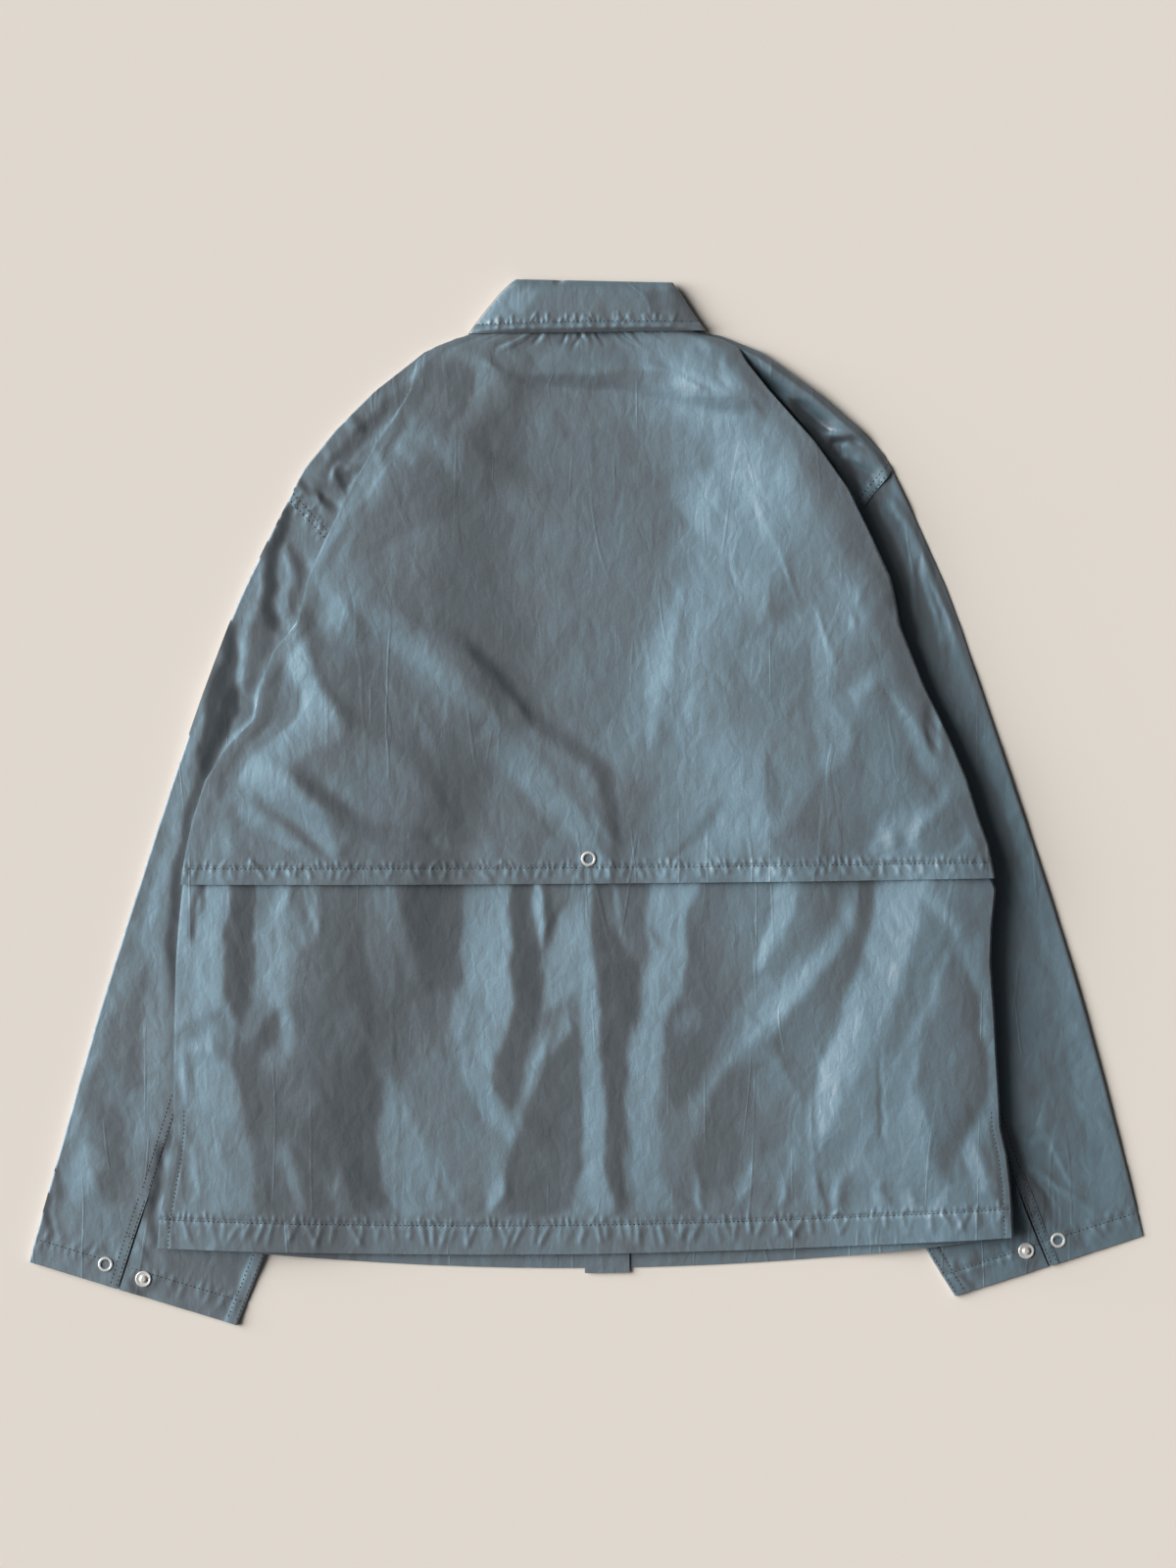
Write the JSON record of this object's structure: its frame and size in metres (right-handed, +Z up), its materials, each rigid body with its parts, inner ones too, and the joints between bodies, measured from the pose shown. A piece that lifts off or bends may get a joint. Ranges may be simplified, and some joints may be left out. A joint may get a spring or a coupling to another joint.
{
  "type": "shirt jacket",
  "caption": "Loose shirt jacket of thin taffeta laid flat with its back up, with a gathered back that hangs as a vent flap, slit cuffs with press snaps and a small collar.",
  "frame": {"origin": "middle of the garment's outline, on the surface that it lies on", "axes": "+X towards the wearer's right sleeve, +Y towards the collar, +Z up out of the back"},
  "size_m": [0.8748, 0.8208, 0.0204],
  "materials": {
    "taffeta": "satin",
    "snap_steel": "polished"
  },
  "bodies": {
    "root": {"upper_back": "taffeta", "lower_back": "taffeta", "left_yoke": "taffeta", "right_yoke": "taffeta", "left_top_sleeve": "taffeta", "right_top_sleeve": "taffeta", "left_under_sleeve": "taffeta", "right_under_sleeve": "taffeta", "left_slit_binding": "taffeta", "right_slit_binding": "taffeta", "left_front": "taffeta", "right_front": "taffeta", "left_placket": "taffeta", "right_placket": "taffeta", "collar_leaf": "taffeta", "collar_stand": "taffeta", "flap_ring_snap": "snap_steel", "left_cuff_ring_snap": "snap_steel", "left_cuff_stud": "snap_steel", "right_cuff_ring_snap": "snap_steel", "right_cuff_stud": "snap_steel"}
  },
  "joints": []
}
